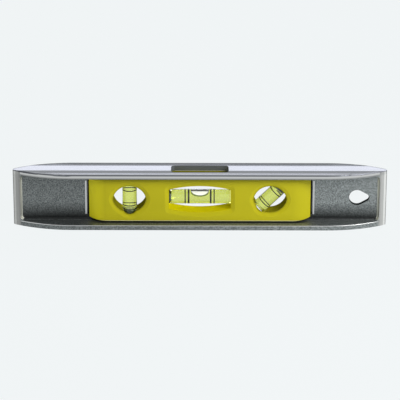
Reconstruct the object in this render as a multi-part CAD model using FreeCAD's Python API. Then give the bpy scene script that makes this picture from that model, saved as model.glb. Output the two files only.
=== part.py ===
"""Nine inch torpedo level: a cast aluminium tray body, a two-part vial housing clamped through
its web, and three liquid-filled vials whose bubbles slide. Millimetres, +Z up, +X along the tool
towards the hang hole, origin at the middle of the bottom working edge."""
import FreeCAD, Part
import math
import os

Vector = FreeCAD.Vector

# --- cast body: outside ---
body_length = 228.6
body_width = 21.8
body_height = 36.35
straight_half_length = 78.0    # the sides run parallel up to here, then curve in to the tips
tip_half_width = 1.2
tip_corner_radius = 1.6
bottom_rim_radius = 0.5        # outer edge of the bottom rail
top_rim_radius = 1.2           # outer edge of the top rail
groove_half_width = 7.5        # shallow pipe groove along the top edge
groove_depth = 0.6

# --- cast body: pockets and web ---
web_thickness = 3.1
rail_thickness = 3.15          # at the rail's outer edge
rail_draft = 0.5               # a rail is this much thicker where it meets the web
end_wall_thickness = 5.6       # at the web
end_wall_draft = 7.0           # an end wall loses this much from the web out to the full width
pocket_corner_radius = 3.0
pocket_floor_fillet = 1.5
pocket_mouth_radius = 0.3

# --- cast body: top window and hang hole ---
window_length = 35.4
window_width = 11.6
window_corner_radius = 2.4
window_flare = 0.6             # each end wall leans out by this much towards the top
hang_hole_radius = 4.85
hang_tip_radius = 2.4
hang_tip_offset = 5.0          # from the round end's centre to the pointed end's centre
hang_hole_from_end = 18.0
hang_hole_chamfer = 0.25

# --- vial housing ---
housing_half_length = 68.05
housing_half_thickness = 5.9
housing_end_taper = 11.0       # length of the curved run down to the web at each end
housing_bottom_gap = 0.3       # front face to the bottom rail
housing_top_gap = 0.1          # front face to the top rail
housing_fillet_gap = 0.1       # clear of the fillets where the rails meet the web
housing_edge_radius = 0.6      # lower long edges
web_margin = 3.5               # web left above and below the housing's opening
web_opening_corner = 0.4
web_opening_end_gap = 0.85
web_clearance = 0.2            # housing to the opening's long edges
tongue_half_thickness = 0.6    # thin tongue that closes the gap at each end of the opening
tongue_clearance = 0.1
lip_width = 1.2                # raised lip on the web beside each end of the opening
lip_height = 0.3
lip_setback = 0.1
lip_end_gap = 0.6

# --- housing openings ---
opening_margin = 5.95          # housing left above and below the openings
side_vial_inset = 25.05        # from a side vial's centre to the housing's end
eye_stretch = 1.6              # a side opening is this much longer than tall, per side
eye_tip_radius = 0.8
notch_radius = 4.7             # round notch that shows the lower end of a side vial
notch_lip = 0.1                # housing that still covers the very end of the vial
level_window_half_length = 18.9
level_window_bow = 2.35        # taller in the middle than at each end by this much, per side
level_window_corner = 0.8
dish_width = 2.5
dish_depth = 0.8
sight_setback = 0.1            # slot for reading the level vial from above, inside the window
sight_wall = 1.9

# --- pegs that hold the two housing halves together ---
peg_radius = 1.4
peg_length = 2.6
peg_clearance = 0.02
peg_end_gap = 0.2
outer_peg_inset = 9.55         # from the housing's ends
peg_margin = 2.5               # from the long edges of the web's opening

# --- vials ---
vial_radius = 4.45
bore_radius = 3.1
seat_clearance = 0.05
vial_end_clearance = 0.1
plug_spigot_length = 1.0
bubble_clearance = 0.15
ring_depth = 0.12
level_vial_seat = 1.7          # length of the level vial held past each end of its opening
level_closed_end = 2.6
level_plug_thickness = 2.3
level_inner_ring_offset = 6.75
level_inner_ring_width = 0.85
level_outer_ring_offset = 8.85
level_outer_ring_width = 0.5
level_bubble_half_length = 5.6
level_bubble_depth = 2.2
side_vial_margin = 4.55        # housing above and below the plumb vial
side_closed_end = 1.2
side_plug_thickness = 1.8
side_ring_offset = 4.8
side_ring_width = 0.6
side_bubble_radius = 2.3
side_bubble_length = 4.4
side_bubble_end_radius = 1.6

# --- worked out from the sizes above ---
half_length = body_length / 2
half_width = body_width / 2
half_web = web_thickness / 2
web_depth = half_width - half_web                 # from a rail's outer edge in to the web
taper_run = half_length - straight_half_length
taper_drop = half_width - tip_half_width
taper_radius = (taper_run ** 2 + taper_drop ** 2) / (2 * taper_drop)
web_opening_low = rail_thickness + web_margin
web_opening_high = body_height - web_opening_low
web_opening_half_length = housing_half_length + web_opening_end_gap
rail_at_housing = rail_thickness + rail_draft * (half_width - housing_half_thickness) / web_depth
housing_low = rail_at_housing + housing_bottom_gap
housing_high = body_height - rail_at_housing - housing_top_gap
housing_half_height = (housing_high - housing_low) / 2
vial_height = (housing_low + housing_high) / 2    # height of all three vial centres
side_vial_x = housing_half_length - side_vial_inset    # plumb vial at -X, diagonal vial at +X
housing_web_low = rail_thickness + rail_draft + pocket_floor_fillet + housing_fillet_gap
housing_web_high = body_height - housing_web_low
opening_half_height = housing_half_height - opening_margin
eye_half_width = opening_half_height + eye_stretch
level_window_end_height = opening_half_height - level_window_bow
level_vial_length = 2 * (level_window_half_length + level_vial_seat)
side_vial_length = 2 * (housing_half_height - side_vial_margin)
notch_offset = side_vial_length / 2 - notch_radius - notch_lip
sight_half_length = window_length / 2 - window_flare - sight_setback
sight_half_width = housing_half_thickness - sight_wall
outer_peg_x = housing_half_length - outer_peg_inset
inner_peg_x = (level_window_half_length + side_vial_x - eye_half_width) / 2
overrun = 1.0                  # how far a cutting tool passes a face that it opens
near = 0.01                    # a point this close to a face counts as on it


def side_at(x):
    """Half width of the body's outline at a distance x along it."""
    along = max(abs(x) - straight_half_length, 0.0)
    return half_width - taper_radius + math.sqrt(taper_radius ** 2 - along ** 2)


def line(start, end):
    return Part.LineSegment(start, end).toShape()


def arc(start, through, end):
    return Part.Arc(start, through, end).toShape()


def slab(low_x, high_x, low_y, high_y, low_z, high_z):
    """Box between two corners."""
    size = (high_x - low_x, high_y - low_y, high_z - low_z)
    return Part.makeBox(*size, Vector(low_x, low_y, low_z))


def prism(points, direction):
    """Straight-sided polygon extruded along a direction."""
    return Part.Face(Part.makePolygon(points + points[:1])).extrude(direction)


def edges_where(shape, test):
    """Edges whose ends and middle all pass the test."""
    chosen = []
    for edge in shape.Edges:
        first, last = edge.ParameterRange
        samples = [edge.valueAt(first + (last - first) * step / 4) for step in range(5)]
        if all(test(point) for point in samples):
            chosen.append(edge)
    return chosen


def mirrored(shape):
    """The same shape on the other side of the body's middle plane."""
    return shape.mirror(Vector(0, 0, 0), Vector(0, 1, 0))


def rounded_rectangle(half_u, low_v, high_v, radius, place):
    """Closed wire with four round corners; place turns (u, v) into a point."""
    inner_u = half_u - radius
    cut = radius * (1 - math.sqrt(0.5))
    quarter_turns = [
        (inner_u, low_v, half_u - cut, low_v + cut, half_u, low_v + radius),
        (half_u, high_v - radius, half_u - cut, high_v - cut, inner_u, high_v),
        (-inner_u, high_v, cut - half_u, high_v - cut, -half_u, high_v - radius),
        (-half_u, low_v + radius, cut - half_u, low_v + cut, -inner_u, low_v),
    ]
    edges = []
    previous = place(-inner_u, low_v)
    for u0, v0, u1, v1, u2, v2 in quarter_turns:
        edges.append(line(previous, place(u0, v0)))
        edges.append(arc(place(u0, v0), place(u1, v1), place(u2, v2)))
        previous = place(u2, v2)
    return Part.Wire(edges)


# --- cast body ---

def plan_wire():
    """Boat-shaped outline: parallel sides, curved tapers and narrow round noses."""
    mid_x = straight_half_length + taper_run / 2
    mid_y = side_at(mid_x)
    edges = []
    for turn in (1, -1):
        def at(x, y):
            return Vector(turn * x, turn * y, 0)
        side_start = at(-straight_half_length, half_width)
        side_end = at(straight_half_length, half_width)
        tip_back = at(half_length, tip_half_width)
        tip_front = at(half_length, -tip_half_width)
        next_side = at(straight_half_length, -half_width)
        edges.append(line(side_start, side_end))
        edges.append(arc(side_end, at(mid_x, mid_y), tip_back))
        edges.append(line(tip_back, tip_front))
        edges.append(arc(tip_front, at(mid_x, -mid_y), next_side))
    return Part.Wire(edges)


def solid_outline():
    """The body before anything is cut out of it, with its tips and rims rounded."""
    block = Part.Face(plan_wire()).extrude(Vector(0, 0, body_height))

    def on_tip_corner(point):
        return abs(abs(point.x) - half_length) < near and abs(abs(point.y) - tip_half_width) < near
    block = block.makeFillet(tip_corner_radius, edges_where(block, on_tip_corner))

    for height, radius in ((0.0, bottom_rim_radius), (body_height, top_rim_radius)):
        rim = edges_where(block, lambda point: abs(point.z - height) < near)
        block = block.makeFillet(radius, rim)
    return block


def pipe_groove():
    """Shallow V along the whole top edge."""
    start = -half_length - overrun
    top = body_height + overrun
    points = [
        Vector(start, -groove_half_width, body_height),
        Vector(start, 0, body_height - groove_depth),
        Vector(start, groove_half_width, body_height),
        Vector(start, groove_half_width, top),
        Vector(start, -groove_half_width, top),
    ]
    return prism(points, Vector(body_length + 2 * overrun, 0, 0))


def front_pocket():
    """Drafted recess between the rails and end walls, down to the web."""
    stretch = (web_depth + overrun) / web_depth

    def outline(share, y):
        rise = rail_draft * (1 - share)
        half_x = half_length - end_wall_thickness + end_wall_draft * share
        low = rail_thickness + rise
        return rounded_rectangle(half_x, low, body_height - low, pocket_corner_radius,
                                 lambda u, v: Vector(u, y, v))
    floor = outline(0.0, -half_web)
    pocket = Part.makeLoft([floor, outline(stretch, -half_width - overrun)], True, True)

    def on_web(point):
        return abs(point.y + half_web) < near
    return pocket.makeFillet(pocket_floor_fillet, edges_where(pocket, on_web))


def web_opening():
    """Opening that the housing passes through."""
    outline = rounded_rectangle(web_opening_half_length, web_opening_low, web_opening_high,
                                web_opening_corner, lambda u, v: Vector(u, -half_web - overrun, v))
    return Part.Face(outline).extrude(Vector(0, web_thickness + 2 * overrun, 0))


def top_window():
    """Reading window through the top rail and the strip of web below it."""
    low = web_opening_high - overrun
    high = body_height + overrun
    half_long = window_length / 2

    def outline(half_x, z):
        return rounded_rectangle(half_x, -window_width / 2, window_width / 2, window_corner_radius,
                                 lambda u, v: Vector(u, v, z))
    sections = [outline(half_long - window_flare, low), outline(half_long, high)]
    return Part.makeLoft(sections, True, True)


def hang_hole():
    """Teardrop hole, pointed towards the tip, with broken edges."""
    centre_x = half_length - hang_hole_from_end
    centre_z = body_height / 2
    lean = math.acos((hang_hole_radius - hang_tip_radius) / hang_tip_offset)

    def outline(grow, y):
        big = hang_hole_radius + grow
        small = hang_tip_radius + grow

        def on_circle(radius, offset, angle):
            x = centre_x + offset + radius * math.cos(angle)
            return Vector(x, y, centre_z + radius * math.sin(angle))
        low_big = on_circle(big, 0, -lean)
        low_small = on_circle(small, hang_tip_offset, -lean)
        high_small = on_circle(small, hang_tip_offset, lean)
        high_big = on_circle(big, 0, lean)
        return Part.Wire([
            line(low_big, low_small),
            arc(low_small, on_circle(small, hang_tip_offset, 0), high_small),
            line(high_small, high_big),
            arc(high_big, on_circle(big, 0, math.pi), low_big),
        ])
    through = Vector(0, web_thickness + 2 * overrun, 0)
    hole = Part.Face(outline(0, -half_web - overrun)).extrude(through)
    mouth = outline(hang_hole_chamfer, -half_web)
    throat = outline(0, -half_web + hang_hole_chamfer)
    bevel = Part.makeLoft([mouth, throat], True, True)
    return [hole, bevel, mirrored(bevel)]


def web_lips():
    """Raised lips on both faces of the web, one beside each end of the opening."""
    inner_x = web_opening_half_length + lip_setback
    low = web_opening_low + lip_end_gap
    high = web_opening_high - lip_end_gap
    reach = half_web + lip_height
    lips = []
    for start in (inner_x, -inner_x - lip_width):
        lips.append(slab(start, start + lip_width, -reach, reach, low, high))
    return lips


def body_frame():
    """The casting: two rails, two end walls and the web between them."""
    pocket = front_pocket()
    body = solid_outline().cut([pipe_groove(), pocket, mirrored(pocket)])

    def on_pocket_mouth(point):
        inside = rail_thickness - near < point.z < body_height - rail_thickness + near
        return inside and abs(abs(point.y) - side_at(point.x)) < near
    body = body.makeFillet(pocket_mouth_radius, edges_where(body, on_pocket_mouth))
    body = body.fuse(web_lips())
    return body.cut([web_opening(), top_window()] + hang_hole())


# --- vial housing ---

def eye_wire(grow, centre_x, y):
    """Outline of a side vial's opening: two long arcs that meet in round tips."""
    tip = eye_tip_radius + grow
    width = eye_half_width + grow
    height = opening_half_height + grow
    long_radius = ((width - tip) ** 2 + height ** 2 - tip ** 2) / (2 * (height - tip))
    drop = long_radius - height
    reach = long_radius / (long_radius - tip)
    meet_x = (width - tip) * reach
    meet_z = drop * (reach - 1)

    def at(x, z):
        return Vector(centre_x + x, y, vial_height + z)
    return Part.Wire([
        arc(at(-meet_x, meet_z), at(0, height), at(meet_x, meet_z)),
        arc(at(meet_x, meet_z), at(width, 0), at(meet_x, -meet_z)),
        arc(at(meet_x, -meet_z), at(0, -height), at(-meet_x, -meet_z)),
        arc(at(-meet_x, -meet_z), at(-width, 0), at(-meet_x, meet_z)),
    ])


def level_window_wire(grow, y):
    """Outline of the level vial's opening: upright ends and bowed long sides."""
    end_x = level_window_half_length + grow
    end_z = level_window_end_height + grow
    top_z = opening_half_height + grow
    corner = level_window_corner + grow
    bow = top_z - end_z
    bow_radius = (end_x ** 2 + bow ** 2) / (2 * bow)
    corner_x = end_x - corner
    corner_z = math.sqrt((bow_radius - corner) ** 2 - corner_x ** 2) - (bow_radius - top_z)
    reach = bow_radius / (bow_radius - corner)
    meet_x = corner_x * reach
    meet_z = (corner_z + bow_radius - top_z) * reach - (bow_radius - top_z)
    middle = (math.atan2(meet_z - corner_z, meet_x - corner_x)) / 2
    through_x = corner_x + corner * math.cos(middle)
    through_z = corner_z + corner * math.sin(middle)

    def at(x, z):
        return Vector(x, y, vial_height + z)
    return Part.Wire([
        line(at(end_x, -corner_z), at(end_x, corner_z)),
        arc(at(end_x, corner_z), at(through_x, through_z), at(meet_x, meet_z)),
        arc(at(meet_x, meet_z), at(0, top_z), at(-meet_x, meet_z)),
        arc(at(-meet_x, meet_z), at(-through_x, through_z), at(-end_x, corner_z)),
        line(at(-end_x, corner_z), at(-end_x, -corner_z)),
        arc(at(-end_x, -corner_z), at(-through_x, -through_z), at(-meet_x, -meet_z)),
        arc(at(-meet_x, -meet_z), at(0, -top_z), at(meet_x, -meet_z)),
        arc(at(meet_x, -meet_z), at(through_x, -through_z), at(end_x, -corner_z)),
    ])


def front_opening(outline):
    """Cutters for one opening in the front half: a straight hole and its dished border.

    outline(grow, y) gives the opening's wire in the plane y, grown outwards."""
    face_y = -housing_half_thickness
    through = Vector(0, housing_half_thickness + 2 * overrun, 0)
    hole = Part.Face(outline(0, face_y - overrun)).extrude(through)
    slope = dish_depth / dish_width
    outer = outline(dish_width + overrun, face_y - overrun * slope)
    inner = outline(0, face_y + dish_depth)
    return [hole, Part.makeLoft([inner, outer], True, True)]


def notch_cutters(centre_x, down_x, down_z):
    """Cutters for the round notch at a side vial's lower end."""
    x = centre_x + notch_offset * down_x
    z = vial_height + notch_offset * down_z
    face_y = -housing_half_thickness
    start = Vector(x, face_y - overrun, z)
    inward = Vector(0, 1, 0)
    slope = dish_width / dish_depth
    mouth_radius = notch_radius + dish_width + overrun * slope
    hole = Part.makeCylinder(notch_radius, housing_half_thickness + overrun, start, inward)
    border = Part.makeCone(mouth_radius, notch_radius, dish_depth + overrun, start, inward)
    return [hole, border]


def front_shell():
    """Outer form of the front housing half, before any opening is cut."""
    face_y = -housing_half_thickness
    profile = [
        Vector(0, 0, web_opening_low + web_clearance),
        Vector(0, -half_web, web_opening_low + web_clearance),
        Vector(0, -half_web, housing_web_low),
        Vector(0, face_y, housing_low),
        Vector(0, face_y, housing_high),
        Vector(0, -half_web, housing_web_high),
        Vector(0, -half_web, web_opening_high - web_clearance),
        Vector(0, 0, web_opening_high - web_clearance),
    ]
    tip = Vector(half_length, 0, 0)
    side_view = prism([point - tip for point in profile], Vector(body_length, 0, 0))
    end_x = housing_half_length
    run = housing_end_taper
    rise = housing_half_thickness - half_web
    radius = (run ** 2 + rise ** 2) / (2 * rise)
    mid_drop = radius - math.sqrt(radius ** 2 - (run / 2) ** 2)
    tongue_x = web_opening_half_length - tongue_clearance

    def right(x, y):
        return Vector(x, y, 0)

    def left(x, y):
        return Vector(-x, y, 0)
    edges = [line(left(end_x - run, face_y), right(end_x - run, face_y))]
    for side in (right, left):
        step_start = side(end_x, -tongue_half_thickness)
        step_end = side(tongue_x, -tongue_half_thickness)
        edges.append(arc(side(end_x - run, face_y), side(end_x - run / 2, face_y + mid_drop),
                         side(end_x, -half_web)))
        edges.append(line(side(end_x, -half_web), step_start))
        edges.append(line(step_start, step_end))
        edges.append(line(step_end, side(tongue_x, 0)))
    edges.append(line(left(tongue_x, 0), right(tongue_x, 0)))
    plan = Part.Face(Part.Wire(Part.sortEdges(edges)[0])).extrude(Vector(0, 0, body_height))
    shell = plan.common(side_view)

    def on_long_edge(point):
        share = (point.y - face_y) / rise
        low = housing_low + (housing_web_low - housing_low) * share
        return abs(point.z - low) < near and point.y < -half_web + near

    def off_web(edge):
        middle = edge.valueAt(sum(edge.ParameterRange) / 2)
        return middle.y < -half_web - near
    rounded = [edge for edge in edges_where(shell, on_long_edge) if off_web(edge)]
    return shell.makeFillet(housing_edge_radius, rounded)


def sight_slot():
    """Vertical slot through both halves, down to the level vial."""
    return slab(-sight_half_length, sight_half_length, -sight_half_width, sight_half_width,
                vial_height, body_height)


def peg_places():
    """Where the pegs stand, as (x, z)."""
    columns = (-outer_peg_x, -inner_peg_x, inner_peg_x, outer_peg_x)
    rows = (web_opening_low + peg_margin, web_opening_high - peg_margin)
    return [(x, z) for x in columns for z in rows]


def housing_half():
    """Front half with openings, vial seats and sight slot, but no pegs or sockets."""
    down = math.sqrt(0.5)
    cutters = [sight_slot()]
    cutters += front_opening(level_window_wire)
    cutters += front_opening(lambda grow, y: eye_wire(grow, -side_vial_x, y))
    cutters += front_opening(lambda grow, y: eye_wire(grow, side_vial_x, y))
    cutters += notch_cutters(-side_vial_x, 0, -1)
    cutters += notch_cutters(side_vial_x, -down, -down)
    for vial in (level_vial, plumb_vial, diagonal_vial):
        cutters.append(vial.seat())
    return front_shell().cut(cutters)


def front_vial_housing():
    """Front half with a socket for each peg."""
    sockets = []
    for x, z in peg_places():
        start = Vector(x, -peg_length - peg_end_gap, z)
        depth = peg_length + peg_end_gap + overrun
        sockets.append(Part.makeCylinder(peg_radius + peg_clearance, depth, start, Vector(0, 1, 0)))
    return housing_half().cut(sockets)


def rear_vial_housing():
    """Rear half, the front half's mirror image, with pegs that press into the front half."""
    pegs = []
    for x, z in peg_places():
        start = Vector(x, overrun, z)
        pegs.append(Part.makeCylinder(peg_radius, peg_length + overrun, start, Vector(0, -1, 0)))
    return mirrored(housing_half()).fuse(pegs).removeSplitter()


# --- vials ---

class Vial:
    """A clear tube, closed at one end and plugged at the other. It is built along X with the
    plugged end at -X, then its closed end is turned up by tilt degrees and it is carried to its
    place. A tilt past 180 leaves the plug on top."""

    def __init__(self, centre_x, tilt, length, closed_end, plug_thickness):
        self.centre = Vector(centre_x, 0, vial_height)
        self.tilt = tilt
        self.plug_up = tilt > 180
        self.half = length / 2
        self.bore_high = self.half - closed_end
        self.tube_low = -self.half + plug_thickness
        self.bore_low = self.tube_low + plug_spigot_length

    def place(self, shape):
        turned = shape.copy()
        turned.rotate(Vector(0, 0, 0), Vector(0, 1, 0), -self.tilt)
        turned.translate(self.centre)
        return turned

    @staticmethod
    def rod(radius, low, high):
        return Part.makeCylinder(radius, high - low, Vector(low, 0, 0), Vector(1, 0, 0))

    @staticmethod
    def ring(offset, width):
        outer = Vial.rod(vial_radius, offset - width / 2, offset + width / 2)
        inner = Vial.rod(vial_radius - ring_depth, offset - width, offset + width)
        return outer.cut(inner)

    def seat(self):
        reach = self.half + vial_end_clearance
        return self.place(Vial.rod(vial_radius + seat_clearance, -reach, reach))

    def tube(self, rings):
        body = Vial.rod(vial_radius, self.tube_low, self.half)
        bore = Vial.rod(bore_radius, self.tube_low - overrun, self.bore_high)
        return self.place(body.cut([bore] + rings))

    def plug(self):
        flange = Vial.rod(vial_radius, -self.half, self.tube_low)
        spigot = Vial.rod(bore_radius, -self.half, self.bore_low)
        return self.place(flange.fuse(spigot).removeSplitter())


level_vial = Vial(0.0, 0.0, level_vial_length, level_closed_end, level_plug_thickness)
plumb_vial = Vial(-side_vial_x, 90.0, side_vial_length, side_closed_end, side_plug_thickness)
diagonal_vial = Vial(side_vial_x, 225.0, side_vial_length, side_closed_end, side_plug_thickness)


def level_bubble():
    """Long bubble that lies under the top of the bore, flat above and bowed below."""
    radius = bore_radius - bubble_clearance
    limit = level_bubble_half_length
    rod = Vial.rod(radius, -limit, limit)
    bow = Part.Ellipse(Vector(0, 0, 0), limit, level_bubble_depth)
    outline = Part.Face(Part.Wire([bow.toShape()])).extrude(Vector(0, 0, 2 * vial_radius))
    outline.rotate(Vector(0, 0, 0), Vector(1, 0, 0), 90)
    outline.translate(Vector(0, vial_radius, radius))
    return level_vial.place(rod.common(outline))


def level_liquid():
    """Liquid along the whole bore, open above where the bubble travels."""
    surface = bore_radius - bubble_clearance - level_bubble_depth - bubble_clearance
    rod = Vial.rod(bore_radius, level_vial.bore_low, level_vial.bore_high)
    room = slab(level_vial.bore_low - overrun, level_vial.bore_high + overrun,
                -vial_radius, vial_radius, surface, vial_radius)
    return level_vial.place(rod.cut(room))


def side_bubble(vial):
    """Short round-ended bubble at the upper end of a side vial's bore."""
    if vial.plug_up:
        low = vial.bore_low + bubble_clearance
    else:
        low = vial.bore_high - bubble_clearance - side_bubble_length
    high = low + side_bubble_length
    rod = Vial.rod(side_bubble_radius, low, high)

    def on_end(point):
        return min(abs(point.x - low), abs(point.x - high)) < near
    return vial.place(rod.makeFillet(side_bubble_end_radius, edges_where(rod, on_end)))


def side_liquid(vial):
    """Liquid round the wall of the bore, open along the middle where the bubble travels."""
    rod = Vial.rod(bore_radius, vial.bore_low, vial.bore_high)
    room_radius = side_bubble_radius + bubble_clearance
    room = Vial.rod(room_radius, vial.bore_low - overrun, vial.bore_high + overrun)
    return vial.place(rod.cut(room))


def level_vial_parts():
    """Every piece of the level vial, by node name."""
    rings = {
        "level_left_outer_ring": Vial.ring(-level_outer_ring_offset, level_outer_ring_width),
        "level_left_inner_ring": Vial.ring(-level_inner_ring_offset, level_inner_ring_width),
        "level_right_inner_ring": Vial.ring(level_inner_ring_offset, level_inner_ring_width),
        "level_right_outer_ring": Vial.ring(level_outer_ring_offset, level_outer_ring_width),
    }
    pieces = {name: level_vial.place(ring) for name, ring in rings.items()}
    pieces["level_vial_tube"] = level_vial.tube(list(rings.values()))
    pieces["level_vial_plug"] = level_vial.plug()
    pieces["level_vial_liquid"] = level_liquid()
    pieces["level_bubble"] = level_bubble()
    return pieces


def side_vial_parts(name, vial):
    """Every piece of the plumb or the diagonal vial, by node name."""
    upper = -side_ring_offset if vial.plug_up else side_ring_offset
    rings = {
        name + "_lower_ring": Vial.ring(-upper, side_ring_width),
        name + "_upper_ring": Vial.ring(upper, side_ring_width),
    }
    pieces = {node: vial.place(ring) for node, ring in rings.items()}
    pieces[name + "_vial_tube"] = vial.tube(list(rings.values()))
    pieces[name + "_vial_plug"] = vial.plug()
    pieces[name + "_vial_liquid"] = side_liquid(vial)
    pieces[name + "_bubble"] = side_bubble(vial)
    return pieces


def build():
    """All nodes of the level, by name."""
    nodes = {
        "body_frame": body_frame(),
        "front_vial_housing": front_vial_housing(),
        "rear_vial_housing": rear_vial_housing(),
    }
    nodes.update(level_vial_parts())
    nodes.update(side_vial_parts("plumb", plumb_vial))
    nodes.update(side_vial_parts("diagonal", diagonal_vial))
    return nodes


os.makedirs("parts", exist_ok=True)
for node, shape in build().items():
    shape.exportStep("parts/" + node + ".step")
    print(node, "solids", len(shape.Solids), "valid", shape.isValid(), "volume", round(shape.Volume, 1))
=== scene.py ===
import math

import bpy
import bmesh
from mathutils import Matrix, Vector


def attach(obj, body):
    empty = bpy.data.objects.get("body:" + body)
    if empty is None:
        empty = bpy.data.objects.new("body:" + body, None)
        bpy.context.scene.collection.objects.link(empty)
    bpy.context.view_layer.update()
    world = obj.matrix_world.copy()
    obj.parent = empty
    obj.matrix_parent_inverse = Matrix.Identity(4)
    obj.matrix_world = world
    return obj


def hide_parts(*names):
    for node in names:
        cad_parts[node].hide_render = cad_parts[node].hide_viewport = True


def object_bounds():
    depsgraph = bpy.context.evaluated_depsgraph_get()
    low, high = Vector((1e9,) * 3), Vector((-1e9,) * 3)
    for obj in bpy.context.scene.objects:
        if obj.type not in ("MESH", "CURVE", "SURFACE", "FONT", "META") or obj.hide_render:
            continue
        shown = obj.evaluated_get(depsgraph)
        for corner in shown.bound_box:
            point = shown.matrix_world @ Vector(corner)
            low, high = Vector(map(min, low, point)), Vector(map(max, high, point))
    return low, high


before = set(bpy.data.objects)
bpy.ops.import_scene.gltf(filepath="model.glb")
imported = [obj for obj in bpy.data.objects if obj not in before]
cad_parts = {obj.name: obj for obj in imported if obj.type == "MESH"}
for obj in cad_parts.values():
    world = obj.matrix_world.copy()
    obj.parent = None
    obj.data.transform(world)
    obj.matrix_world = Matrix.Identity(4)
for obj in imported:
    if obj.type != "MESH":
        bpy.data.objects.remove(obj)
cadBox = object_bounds()
mm = 0.001
vialHeight = 18.275 * mm    # half way up the tool: the vials and the hang hole lie there
hair = 0.01 * mm            # half the width of the fade where a zone ends sharply


def toLinear(hexColour):
    channels = [int(hexColour[i:i + 2], 16) / 255 for i in (1, 3, 5)]
    return [c / 12.92 if c <= 0.04045 else ((c + 0.055) / 1.055) ** 2.4 for c in channels] + [1.0]


def addNode(tree, kind, sockets=None, **settings):
    node = tree.nodes.new(kind)
    for name, value in settings.items():
        setattr(node, name, value)
    for key, value in (sockets or {}).items():
        if isinstance(value, bpy.types.NodeSocket):
            tree.links.new(value, node.inputs[key])
        else:
            node.inputs[key].default_value = value
    return node


def zone(tree, *limits):
    # how far a point belongs to a zone, 0 to 1: each limit is a value, where it is outside and where inside
    share = 1.0
    for value, outside, inside in limits:
        step = addNode(tree, "ShaderNodeMapRange", {0: value, 1: outside, 2: inside}).outputs[0]
        share = addNode(tree, "ShaderNodeMath", {0: share, 1: step}, operation="MULTIPLY").outputs[0]
    return share


def above(value, level):
    return value, level - hair, level + hair


def below(value, level):
    return value, level + hair, level - hair


def toned(tree, colour, *tones):
    # the colour made lighter or darker: each tone is a value, two levels of it and the brightness at each
    for value, start, end, first, last in tones:
        factor = addNode(tree, "ShaderNodeMapRange", {0: value, 1: start, 2: end, 3: first, 4: last}).outputs[0]
        colour = addNode(tree, "ShaderNodeVectorMath", {0: colour, "Scale": factor}, operation="SCALE").outputs[0]
    return colour


def coordinates(tree):
    # a point's place and the way its surface faces: as vectors, and by axis with and without their signs
    place = addNode(tree, "ShaderNodeTexCoord").outputs["Object"]
    normal = addNode(tree, "ShaderNodeNewGeometry").outputs["Normal"]
    split = [place]
    for vector in (place, normal):
        unsigned = addNode(tree, "ShaderNodeVectorMath", {0: vector}, operation="ABSOLUTE").outputs[0]
        split += [addNode(tree, "ShaderNodeSeparateXYZ", {0: kind}).outputs for kind in (vector, unsigned)]
    return split


def newMaterial(name, shaderSettings):
    material = bpy.data.materials.new(name)
    material.use_nodes = True
    tree = material.node_tree
    shader = tree.nodes["Principled BSDF"]
    for key, value in shaderSettings.items():
        shader.inputs[key].default_value = value
    return material, tree, shader


def setMaterial(obj, material):
    if obj.material_slots:
        for entry in obj.material_slots:
            entry.material = material
    else:
        obj.data.materials.append(material)


def finishPiece(obj, body, slotName, material, *nodes):
    setMaterial(obj, material)
    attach(obj, body)
    if nodes:
        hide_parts(*nodes)


def meshObject(name, mesh):
    obj = bpy.data.objects.new(name, mesh)
    bpy.context.scene.collection.objects.link(obj)
    return obj


def plainMesh(obj, name):
    # what the modifiers give, as an ordinary mesh
    graph = bpy.context.evaluated_depsgraph_get()
    mesh = bpy.data.meshes.new_from_object(obj.evaluated_get(graph))
    mesh.name = name
    obj.modifiers.clear()
    obj.data = mesh
    for face in mesh.polygons:
        face.use_smooth = True
    return obj


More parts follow.
